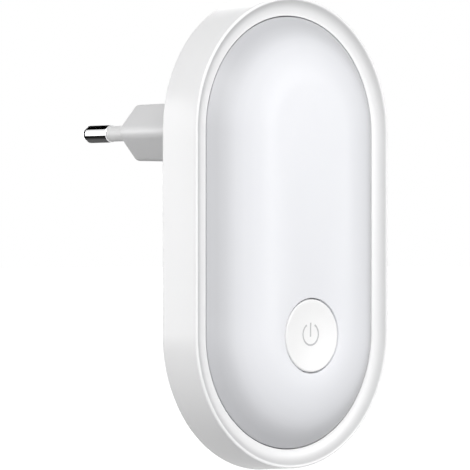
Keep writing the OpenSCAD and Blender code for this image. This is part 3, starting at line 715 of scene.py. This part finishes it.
# A rounded rectangle's outline times each row's scale, at the row's height, turned about its own
# middle and moved to each spot (x, up, turn)
def spotGrids(width, length, corner, rows, spots):
    x, y = width / 2, length / 2
    outline = softOutline([(x, y, corner), (-x, y, corner), (-x, -y, corner), (x, -y, corner)], 3)
    scale, height = np.array(rows).T[:, :, None]
    px, py = outline[:, 0] * scale, outline[:, 1] * scale
    grids = []
    for x, up, turn in spots:
        c, s = math.cos(turn), math.sin(turn)
        grids.append((rowPoints(x + px * c - py * s, up + px * s + py * c, height), False, True))
    return grids


# A block whose outline draws in along a quarter circle at both ends: (1 - sin) inwards and
# (1 - cos) along
def blockGrid(x, up, low, high, width, length, edge=0.2, corner=0.3):
    t = np.radians(np.linspace(0, 90, 5))
    inset = edge * (1 - np.sin(np.concatenate([t, t[::-1]])))
    height = np.concatenate([low + edge * (1 - np.cos(t)), high - edge * (1 - np.cos(t[::-1]))])
    halves = [boxHalf(width - 2 * i, length - 2 * i, max(corner - i, 0.03)) for i in inset]
    return cappedGrid(sidePoints(zip(halves, height)) + rowPoints(x, up, 0))


# A section (across, beside) carried along a path in one plane: across stands square to that plane,
# and beside is the cross product of the path's direction with it
def sweptGrid(path, across, section):
    path, across = rowPoints(*np.array(path).T), np.array(across, float)
    along = np.gradient(path, axis=0)
    along /= np.linalg.norm(along, axis=1, keepdims=True)
    beside = np.cross(along, across)
    return cappedGrid(path[:, None] + (section[:, :1] * across + section[:, 1:] * beside[:, None]) * mm)


# A circle's points, without the last one, which would repeat the first
def roundSection(radius, steps):
    return arcPoints(0, 0, radius, radius, 0, 360, steps)[:-1]


# Turns a profile of (radius, distance) round a line from its start that runs sideways ("x") or
# upwards ("up")
def acrossGrid(profile, start, axis, steps=48):
    a = np.linspace(0, 2 * np.pi, steps, endpoint=False)
    radius, along = np.hsplit(profile, 2)
    first, second, along = radius * np.cos(a), radius * np.sin(a), along + 0 * a
    if axis == "x":
        return rowPoints(start[0] + along, start[1] + first, start[2] + second), False, True
    return rowPoints(start[0] + first, start[1] + along, start[2] + second), False, True


header = {
    "x": 10.73, "up": -32.46, "pitch": 2.54, "gap": 0.02, "height": 2.5, "pin": 0.64, "pinTop": 36.4,
    "hole": 1.04,
}
headerSpots = [(header["x"], header["up"] + side * header["pitch"] / 2, 0) for side in (-1, 1)]
lightBoard = {"radius": 20.6, "edge": 0.1}
boardR, edge, boardBack = lightBoard["radius"], lightBoard["edge"], boardFace - boardThick
slab = softOutline([
    (0, boardBack, 0), (boardR, boardBack, edge), (boardR, boardFace, edge), (0, boardFace, 0)], 3)
boardPiece = addPiece("ledBoard", [(carriedPoints(slab), False, True)], "led_board_white", "led_board")
through = boardBack - 1, boardFace + 1
boardHoles = [rodGrid(x, up, screwHoleR, *through) for x, up in boardSpots]
boardHoles += spotGrids(header["hole"], header["hole"], 0.1, postRows(*through), headerSpots)
cutOut(boardPiece, boardHoles)

# Light packages stand along both straight sides and round the two ends: (x, up, turn)
package = {"width": 2.8, "length": 3.5, "height": 0.7, "ring": 13.1, "corner": 0.3}
ring = package["ring"]
packageSpots = [(side * ring, -arcDrop - row * arcGap / 5, 0) for side in (-1, 1) for row in range(6)]
for start, centre in ((0, -arcDrop), (180, -arcDrop - arcGap)):
    for turn in np.radians(start + np.array([45, 90, 135])):
        packageSpots.append((ring * math.cos(turn), centre + ring * math.sin(turn), turn))

# Each package: a white frame with a round-cornered well, and phosphor that fills it, marked 1
packageTop = boardFace + package["height"]
packageRows = [
    (0, boardFace), (0.96, boardFace), (1, boardFace + 0.06), (1, packageTop - 0.06), (0.97, packageTop),
    (0.8, packageTop), (0.76, packageTop - 0.1), (0.74, packageTop - 0.1), (0.4, packageTop - 0.05),
    (0, packageTop - 0.03),
]
packages = spotGrids(package["width"], package["length"], package["corner"], packageRows, packageSpots)
phosphor = np.array([scale < 0.75 and h > boardFace for scale, h in packageRows], float)
mark = np.tile(np.repeat(phosphor, packages[0][0].shape[1]), len(packages))
addPiece("ledPackages", packages, "led_phosphor", "led_packages", values={"mark": mark})

tray = {
    "top": 36.4, "rim": 39.1, "rimR": 23, "footR": 20.1, "wall": 1, "window": 0.4, "screwWindow": 2.3,
    "buttonWindow": 5.1, "headerWindow": (3.5, 6.1),
}
rimR, footR, wall, trayTop = tray["rimR"], tray["footR"], tray["wall"], tray["top"]
trayProfile = softOutline([
    (0, boardFace, 0), (footR, boardFace, 0.3), (rimR, tray["rim"], 0.3), (rimR - wall, tray["rim"], 0.3),
    (footR - wall, trayTop, 0.8), (0, trayTop, 0),
], 5)
trayPiece = addPiece(
    "reflectorTray", [(carriedPoints(trayProfile), False, True)], "reflector_white", "reflector_tray")
through = boardFace - 1, trayTop + 1
windowW, windowL = package["width"] + 2 * tray["window"], package["length"] + 2 * tray["window"]
windows = spotGrids(windowW, windowL, package["corner"], postRows(*through), packageSpots)
steps = 46      # keeps the round windows' points off the tray's middle line
windows += [rodGrid(x, up, tray["screwWindow"], *through, steps) for x, up in boardSpots]
windows += [rodGrid(0, buttonUp, tray["buttonWindow"], *through, steps)]
headerWindow = spotGrids(*tray["headerWindow"], 0.3, postRows(*through), [(header["x"], header["up"], 0)])
cutOut(trayPiece, windows, headerWindow)

guide = {"inR": 8.35, "outR": 9.55, "top": 42.05, "footRound": 0.1, "topRound": 0.25}
guideProfile = softOutline([
    (guide["inR"], trayTop, guide["footRound"]), (guide["outR"], trayTop, guide["footRound"]),
    (guide["outR"], guide["top"], guide["topRound"]), (guide["inR"], guide["top"], guide["topRound"]),
], 4)
guideGrid = turnedGrid(guideProfile, 0, buttonUp, 96, closed=True)
addPiece("buttonGuide", [guideGrid], "reflector_white", "button_guide")
print("light board and tray made")


switch = {
    "side": 6.2, "height": 3.5, "edge": 0.15, "corner": 0.4, "boreR": 1.83, "boreLow": 36.2, "mouth": 0.15,
    "plungerR": 1.75, "plungerLow": 36.9, "plungerTop": 40.4, "rivetR": 0.45, "rivetHigh": 0.14,
    "rivetOut": 2.45,
}
caseTop = boardFace + switch["height"]
block = blockGrid(
    0, buttonUp, boardFace, caseTop, switch["side"], switch["side"], switch["edge"], switch["corner"])
casePiece = addPiece("switchCase", [block], "black_moulding", "switch_case")
boreR, mouth = switch["boreR"], switch["mouth"]
bore = [
    (0, switch["boreLow"]), (boreR, switch["boreLow"]), (boreR, caseTop - mouth), (boreR + mouth, caseTop),
    (boreR + mouth, caseTop + 1), (0, caseTop + 1),
]
cutOut(casePiece, [turnedGrid(bore, 0, buttonUp, 64)])
rivetR, out = switch["rivetR"], switch["rivetOut"]
rivetDome = arcPoints(0, caseTop - 0.02, rivetR, switch["rivetHigh"], 0, 90, 5)
rivet = np.concatenate([[(0, caseTop - 0.1), (rivetR, caseTop - 0.1)], rivetDome])
rivets = [turnedGrid(rivet, x, buttonUp + y, 20) for x in (-out, out) for y in (-out, out)]
addPiece("switchRivets", rivets, "black_moulding")
plungerR, plungerLow, plungerTop = switch["plungerR"], switch["plungerLow"], switch["plungerTop"]
plungerProfile = softOutline([
    (0, plungerLow, 0), (plungerR, plungerLow, 0.15), (plungerR, plungerTop, 0.3), (0, plungerTop, 0),
], 5)
addPiece(
    "switchPlunger", [turnedGrid(plungerProfile, 0, buttonUp, 64)], "black_moulding", "switch_plunger",
    body="plunger")
print("switch made")


# The components that are plain blocks are (x, up, width, length, height)
driver = {
    "up": -23, "width": 26, "length": 28, "edge": 0.06, "corner": 0.5,
    "film": (-5.5, -18.7, 13, 5, 8), "bridge": (6.35, -18.7, 4.7, 4, 2.6),
    "chip": (4.3, -31.15, 4.9, 3.9, 1.6),
}
face, driverBack = driverFace, driverFace - driverThick
board = blockGrid(
    0, driver["up"], driverBack, face, driver["width"], driver["length"], driver["edge"], driver["corner"])
driverPiece = addPiece("driverBoard", [board], "board_green", "driver_board")
cutOut(driverPiece, [rodGrid(x, up, screwHoleR, driverBack - 1, face + 1) for x, up in driverSpots])

for name, key, slotName, node, edge, lift in (
        ("filmCapacitor", "film", "film_yellow", "film_capacitor", 0.5, 0),
        ("bridgeRectifier", "bridge", "black_moulding", "bridge_rectifier", 0.18, 0.1),
        ("driverChip", "chip", "black_moulding", "driver_chip", 0.12, 0.1)):
    x, up, width, length, height = driver[key]
    block = blockGrid(x, up, face + lift, face + height, width, length, edge, edge + 0.1)
    addPiece(name, [block], slotName, node)

# The can: a rubber bung, a rolled groove, the printed sleeve with one pale stripe, and a flat end
can = {"start": (-7.85, -23.2, 28.65), "stripeFrom": 100, "stripeTo": 150}
canRows = np.array([
    (0, 0.2), (2.1, 0.2), (2.3, 0), (2.85, 0), (3.1, 0.25), (3.1, 0.9), (2.75, 1.3), (2.75, 1.7), (3.1, 2.1),
    (3.15, 2.3), (3.15, 10.5), (3.05, 10.85), (2.6, 11), (2.5, 10.9), (0, 10.9),
]) * (1, -1)
canTurn = np.linspace(0, 360, 48, endpoint=False)
printed = (canRows[:, :1] > 3) & (canRows[:, 1:] < -2)
stripe = printed & (canTurn > can["stripeFrom"]) & (canTurn < can["stripeTo"])
addPiece(
    "electrolyticCan", [acrossGrid(canRows, can["start"], "up")], "can_black", "electrolytic_capacitor",
    values={"mark": stripe.astype(float)})

# The bobbin: two ferrite flanges, marked 1, and a winding whose radius ripples once for each turn
coil = {
    "x": 4.3, "up": -25.2, "flangeR": 3, "flange": 1, "coreR": 2.3, "long": 4.5, "turns": 14, "wire": 0.13,
}
flangeR, coreR = coil["flangeR"], coil["coreR"]
low, high = face + coil["flange"], face + coil["flange"] + coil["long"]
end = high + coil["flange"]
turns = np.linspace(0, 1, 113)
ripple = np.abs(np.sin(turns * coil["turns"] * np.pi))
winding = np.stack([coreR + coil["wire"] * ripple, low + turns * coil["long"]], axis=-1)
lowFlange = softOutline([(0, face, 0), (flangeR, face, 0.15), (flangeR, low, 0.15), (coreR, low, 0)], 4)
highFlange = softOutline([(coreR, high, 0), (flangeR, high, 0.15), (flangeR, end, 0.15), (0, end, 0)], 4)
ferrite = np.concatenate([np.ones(len(lowFlange)), np.zeros(len(winding)), np.ones(len(highFlange))])
bobbin = turnedGrid(np.concatenate([lowFlange, winding, highFlange]), coil["x"], coil["up"], 64)
mark = np.repeat(ferrite, 64)
addPiece("powerInductor", [bobbin], "winding_brown", "power_inductor", values={"mark": mark})

# The resistor: two thicker end caps, a body between them, and three rings marked 1
resistor = {
    "up": -12.6, "axis": 27.4, "length": 9, "bodyR": 1.42, "capRise": 0.18, "capLong": 2, "endRound": 0.8,
    "rings": (3.1, 4.3, 5.5), "ringHalf": 0.3, "leadX": 5.5, "leadR": 0.3, "bend": 0.6,
}
length, axisUp, axisHeight = resistor["length"], resistor["up"], resistor["axis"]
along = np.linspace(0, length, 181)
fromEnd = np.minimum(along, length - along)
bodyR = resistor["bodyR"] + resistor["capRise"] / (1 + np.exp((fromEnd - resistor["capLong"]) * 6))
bodyR *= np.sqrt(1 - (1 - np.clip(fromEnd / resistor["endRound"], 0, 1)) ** 2 * 0.99)
rings = np.any([np.abs(along - place) < resistor["ringHalf"] for place in resistor["rings"]], axis=0)
profile = np.concatenate([[(0, 0)], np.stack([bodyR, along], -1), [(0, length)]])
addPiece(
    "fusibleResistor", [acrossGrid(profile, (-length / 2, axisUp, axisHeight), "x")],
    "resistor_green", "fusible_resistor",
    values={"mark": np.repeat(np.concatenate([[0], rings, [0]]).astype(float), 48)})
leadX, bendR = resistor["leadX"], resistor["bend"]
bend = arcPoints(bendR - leadX, axisHeight - bendR, bendR, bendR, 180, 90, 6)
leads = []
for side in (-1, 1):
    run = np.concatenate([[(-leadX, face)], bend, [(0.2 - length / 2, axisHeight)]]) * (-side, 1)
    route = [(x, axisUp, height) for x, height in run]
    leads.append(sweptGrid(route, (0, 0, 1), roundSection(resistor["leadR"], 12)))

# Gull-wing leads of the chip and the bridge: out of the body, down in a curve, and flat on the board
gullWings = {
    "chip": {"spots": (-1.9, -0.63, 0.63, 1.9), "width": 0.42, "reach": 0.85},
    "bridge": {"spots": (-1.3, 1.3), "width": 0.7, "reach": 0.6},
}
leadThick = 0.16
strip = np.array([(1, 1), (-1, 1), (-1, -1), (1, -1)]) * 0.5
drop = face + np.array([0.75, 0.75, 0.65, 0.3, 0.12, 0.1])
for key, wing in gullWings.items():
    x, up, length = driver[key][0], driver[key][1], driver[key][3]
    section = strip * (wing["width"], leadThick)
    for side in (-1, 1):
        out = up + side * (length / 2 - 0.1 + np.array([0, 0.25, 0.4, 0.5, 0.6, wing["reach"]]))
        for spot in wing["spots"]:
            leads.append(sweptGrid([(x + spot, o, h) for o, h in zip(out, drop)], (1, 0, 0), section))
cone = np.array([(0, 0), (1.05, 0), (0.9, 0.12), (0.5, 0.45), (0.36, 0.8), (0, 0.85)]) + (0, face)
leads += [turnedGrid(cone, x, axisUp, 32) for x in (-leadX, leadX)]

# The wires arch from the pins' tails to the board; their ends are stripped and soldered
wire = {"radius": 0.8, "coreR": 0.38, "up": -12, "rise": 2, "strippedTop": 0.9, "strippedLow": 1.2}
tail, wireUp, archR = pin["tail"], wire["up"], -wire["up"] / 2
top, low = tail + wire["strippedTop"], face + wire["strippedLow"]
arch = arcPoints(-archR, tail + wire["rise"], archR, archR, 0, 180, 40)
run = np.concatenate([[(0, top), (0, top + 0.3)], arch, [(wireUp, low + 0.3), (wireUp, low)]])
cup = np.array([(0, 0), (1.1, 0), (0.95, 0.25), (0.5, 0.7), (0.4, 1), (0, 1)]) + (0, tail)
for name, side, slotName in (("live", -1, "wire_brown"), ("neutral", 1, "wire_blue")):
    x = side * plug["pinX"]
    route = [(x, up, height) for up, height in run]
    wireGrid = sweptGrid(route, (1, 0, 0), roundSection(wire["radius"], 24))
    addPiece(f"{name}Wire", [wireGrid], slotName, f"{name}_wire")
    leads += [turnedGrid(cup, x, 0, 32), turnedGrid(cone, x, wireUp, 32)]
    leads.append(rodGrid(x, wireUp, wire["coreR"], face, low + 0.1, 20))
addPiece("driverLeads", leads, "nickel_plate")

headerTop, pitch, pinTop = face + header["height"], header["pitch"], header["pinTop"]
blocks = [blockGrid(x, up, face, headerTop, pitch, pitch - header["gap"], 0.1, 0.45)
          for x, up, turn in headerSpots]
addPiece("headerBlock", blocks, "black_moulding", "header_block")
pinRows = [(0, face), (0.6, face), (1, face + 0.3), (1, pinTop - 0.3), (0.6, pinTop), (0, pinTop)]
pinGrids = spotGrids(header["pin"], header["pin"], 0.06, pinRows, headerSpots)
addPiece("headerPins", pinGrids, "header_brass", "header_pins")
print("driver made")


# Places in metres, lamps as (place, size, power), and each card's sector in degrees
studio = {
    "floor": -0.12, "floorR": 6, "floorTone": 0.53, "ambient": 0.23, "target": (0, -0.04, -0.02),
    "glow": (0.72, 1.0), "glowFrom": 0.3, "glowTo": 0.9,
    "lamps": {
        "frontLeft": ((-0.9, -1.35, 0.25), 0.7, 5.1), "frontRight": ((0.9, -1.35, 0.25), 0.7, 7.9),
        "frontTop": ((-0.8, -1.0, 0.9), 0.7, 10), "sideTop": ((-0.9, 0.3, 0.9), 0.5, 1.0),
        "sideLamp": ((-0.85, 0.85, 0.05), 0.8, 5.9), "backRight": ((0.69, 0.94, 0.58), 0.5, 2.3),
        "backFill": ((0.6, 1.2, 0.0), 0.5, 2.6),
    },
    "cards": {
        "middleCard": {"start": -90, "end": 90, "inner": 0.0, "outer": 0.06},
        "upperCard": {"start": 62, "end": 200},
        "lowerCard": {"start": -23, "end": -48},
        "dimCard": {"start": -48, "end": -72, "glow": 0.045},
        "greyCard": {"start": -72, "end": -160, "glow": 0.11},
    },
}


# The first shader for diffuse rays, and the second where the camera, a reflection or a
# transmission looks at it directly
def lightPathMix(nodes, links, first, second):
    path = nodes.new("ShaderNodeLightPath")
    total = addNode(nodes, "ShaderNodeMath", operation="ADD")
    links.new(path.outputs["Is Camera Ray"], total.inputs[0])
    links.new(path.outputs["Is Glossy Ray"], total.inputs[1])
    both = addNode(nodes, "ShaderNodeMath", operation="ADD", use_clamp=True)
    links.new(total.outputs["Value"], both.inputs[0])
    links.new(path.outputs["Is Transmission Ray"], both.inputs[1])
    mix = nodes.new("ShaderNodeMixShader")
    links.new(both.outputs["Value"], mix.inputs["Fac"])
    links.new(first, mix.inputs[1])
    links.new(second, mix.inputs[2])
    return mix.outputs["Shader"]


# A grey surround that lights the object, and a white one where it is looked at
def makeWorld():
    world = bpy.data.worlds.new("studio")
    bpy.context.scene.world = world
    world.use_nodes = True
    nodes, links = world.node_tree.nodes, world.node_tree.links
    ambient, white = nodes["Background"], nodes.new("ShaderNodeBackground")
    for node, strength in ((ambient, studio["ambient"]), (white, 1)):
        node.inputs["Color"].default_value = (1, 1, 1, 1)
        node.inputs["Strength"].default_value = strength
    mixed = lightPathMix(nodes, links, ambient.outputs["Background"], white.outputs["Background"])
    links.new(mixed, nodes["World Output"].inputs["Surface"])


# A matt floor with a glow that is only seen directly and grows with the distance from the middle
def makeFloor():
    z, r = studio["floor"], studio["floorR"]
    mesh = bpy.data.meshes.new("studioFloor")
    mesh.from_pydata([(-r, -r, z), (r, -r, z), (r, r, z), (-r, r, z)], [], [(0, 1, 2, 3)])
    material, nodes, links = newMaterial("paleFloor")
    nodes.remove(nodes["Principled BSDF"])
    matt = addNode(nodes, "ShaderNodeBsdfDiffuse", {"Color": (*[studio["floorTone"]] * 3, 1)})
    away = addNode(nodes, "ShaderNodeVectorMath", operation="LENGTH")
    links.new(nodes.new("ShaderNodeTexCoord").outputs["Object"], away.inputs[0])
    dim, bright = studio["glow"]
    spread = addNode(nodes, "ShaderNodeMapRange", {
        "From Min": studio["glowFrom"], "From Max": studio["glowTo"], "To Min": dim, "To Max": bright})
    glow, both = nodes.new("ShaderNodeEmission"), nodes.new("ShaderNodeAddShader")
    links.new(away.outputs["Value"], spread.inputs["Value"])
    links.new(spread.outputs["Result"], glow.inputs["Strength"])
    links.new(matt.outputs["BSDF"], both.inputs[0])
    links.new(glow.outputs["Emission"], both.inputs[1])
    mixed = lightPathMix(nodes, links, matt.outputs["BSDF"], both.outputs["Shader"])
    links.new(mixed, nodes["Material Output"].inputs["Surface"])
    mesh.materials.append(material)
    newObject("studioFloor", mesh)


# A round lamp at its place, turned to face the target
def softLamp(name, place, target, size, power):
    light = bpy.data.lights.new(name, "AREA")
    light.shape, light.size, light.energy = "DISK", size, power
    lamp = newObject(name, light)
    lamp.location = place
    lamp.rotation_euler = (Vector(target) - Vector(place)).to_track_quat("-Z", "Y").to_euler()
    lamp.visible_camera = False


# A dark card seen only in reflections: a sector of a ring round the left pin's axis, in the plane
# y = depth, from one angle to another (degrees from -X towards +Z)
def darkCard(name, start, end, glow=0.0, inner=0.055, outer=0.12, depth=0.09, steps=25):
    a = np.radians(np.linspace(start, end, steps))
    radius = np.array([inner, outer])[:, None]
    x = -plug["pinX"] * mm - radius * np.cos(a)
    grid = np.stack(np.broadcast_arrays(x, depth, radius * np.sin(a)), axis=-1)
    mesh = bpy.data.meshes.new(name)
    mesh.from_pydata(grid.reshape(-1, 3).tolist(), [], gridFaces(2, steps, False, False).tolist())
    material, nodes, links = newMaterial(name)
    shader = nodes["Principled BSDF"]
    shader.inputs["Base Color"].default_value = (0, 0, 0, 1)
    shader.inputs["Specular IOR Level"].default_value = 0
    shader.inputs["Emission Color"].default_value = (1, 1, 1, 1)
    shader.inputs["Emission Strength"].default_value = glow
    mesh.materials.append(material)
    card = newObject(name, mesh)
    card.visible_camera = card.visible_diffuse = card.visible_shadow = False


makeWorld()
makeFloor()
for name, (place, size, power) in studio["lamps"].items():
    softLamp(name, place, studio["target"], size, power)
for name, card in studio["cards"].items():
    darkCard(name, **card)
print("studio lit")


view = {
    "azimuth": -43.6, "elevation": 0.1, "distance": 0.772, "lens": 266.2, "sensor": 36, "pixels": 470,
    "seenAt": (290.7, 232.65),
}


# Stands at the distance from the diffuser's middle, in the direction of the two angles, and aims
# beside it so that the diffuser's middle falls on the wanted point of the square frame.
def makeCamera(v):
    a, e = math.radians(v["azimuth"]), math.radians(v["elevation"])
    away = Vector((math.sin(a) * math.cos(e), -math.cos(a) * math.cos(e), math.sin(e)))
    right = Vector((math.cos(a), math.sin(a), 0))
    upward = right.cross(-away)
    middle = Vector((0, -domeEdge, -arcDrop - arcGap / 2)) * mm
    perPixel = v["distance"] * v["sensor"] / v["lens"] / v["pixels"]
    (seenX, seenY), half = v["seenAt"], v["pixels"] / 2
    aim = middle - right * (seenX - half) * perPixel - upward * (half - seenY) * perPixel
    data = bpy.data.cameras.new("camera")
    data.lens, data.sensor_width, data.clip_start, data.clip_end = v["lens"], v["sensor"], 0.01, 50
    camera = newObject("camera", data)
    camera.location = aim + away * v["distance"]
    camera.rotation_euler = (-away).to_track_quat("-Z", "Y").to_euler()
    bpy.context.scene.camera = camera


makeCamera(view)
bpy.context.scene.view_settings.view_transform = "Standard"
